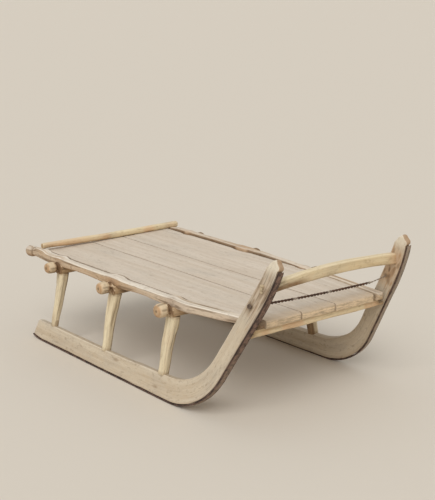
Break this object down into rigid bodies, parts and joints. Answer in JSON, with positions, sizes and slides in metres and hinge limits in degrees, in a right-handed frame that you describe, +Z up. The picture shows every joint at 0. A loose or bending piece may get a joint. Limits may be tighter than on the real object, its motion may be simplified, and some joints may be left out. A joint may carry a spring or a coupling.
{
  "type": "alpine horn sled",
  "caption": "Weathered wooden alpine sled: canted plank runners rising into horns, iron shoes, posts and round-ended crossbeams under a low board deck, drawn and steered by hand.",
  "frame": {"origin": "middle of the overall box on the ground under the soles", "axes": "+X is the front, towards the horns; +Y is the sled's left side; +Z is up"},
  "size_m": [1.5296, 0.842, 0.6139],
  "materials": {
    "runner_wood": "weathered hardwood plank, silver-grey over yellow, mottled and worn",
    "deck_wood": "bleached softwood boards, grey-beige, open grain",
    "hewn_wood": "hewn hardwood, brown in the joints, orange at the cut ends",
    "pole_wood": "shaved pole wood, warm yellow",
    "rail_wood": "shaved rails, whitish on top, orange-brown underneath",
    "iron_shoe": "forged strap iron, brown rust, darker along the edges",
    "tie_wire": "twisted rusty wire"
  },
  "bodies": {
    "root": {"runner_right": "runner_wood", "runner_shoe_right": "iron_shoe", "side_rail_right": "rail_wood", "post_rear_right": "pole_wood", "post_middle_right": "pole_wood", "post_front_right": "pole_wood", "runner_left": "runner_wood", "runner_shoe_left": "iron_shoe", "side_rail_left": "rail_wood", "post_rear_left": "pole_wood", "post_middle_left": "pole_wood", "post_front_left": "pole_wood", "crossbeam_rear": "hewn_wood", "crossbeam_middle": "hewn_wood", "crossbeam_front": "hewn_wood", "deck_board_right": "deck_wood", "deck_board_middle": "deck_wood", "deck_board_left": "deck_wood", "front_beam": "pole_wood", "bow": "pole_wood", "tie_wire": "tie_wire", "rear_pole": "pole_wood"}
  },
  "joints": []
}
